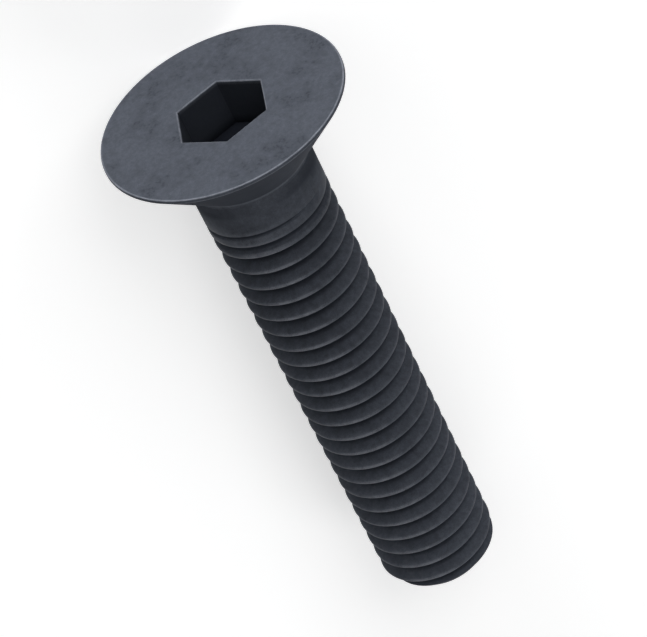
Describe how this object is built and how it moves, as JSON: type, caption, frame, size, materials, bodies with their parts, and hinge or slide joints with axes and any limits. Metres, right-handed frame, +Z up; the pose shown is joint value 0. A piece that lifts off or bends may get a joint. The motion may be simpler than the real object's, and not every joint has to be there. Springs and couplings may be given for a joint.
{
  "type": "countersunk socket screw",
  "caption": "Black steel machine screw with a flat countersunk head, a hexagon socket, a short plain neck and a right-hand thread down to a chamfered tip.",
  "frame": {"origin": "on the table under the middle of the screw, which lies on its side on the rim of its head and its last full crest", "axes": "+Z up, +X from the head towards the tip, along the table"},
  "size_m": [0.0302, 0.0118, 0.0117],
  "materials": {
    "black_steel": "black oxide, oiled, satin"
  },
  "bodies": {
    "root": {"screw": "black_steel"}
  },
  "joints": []
}
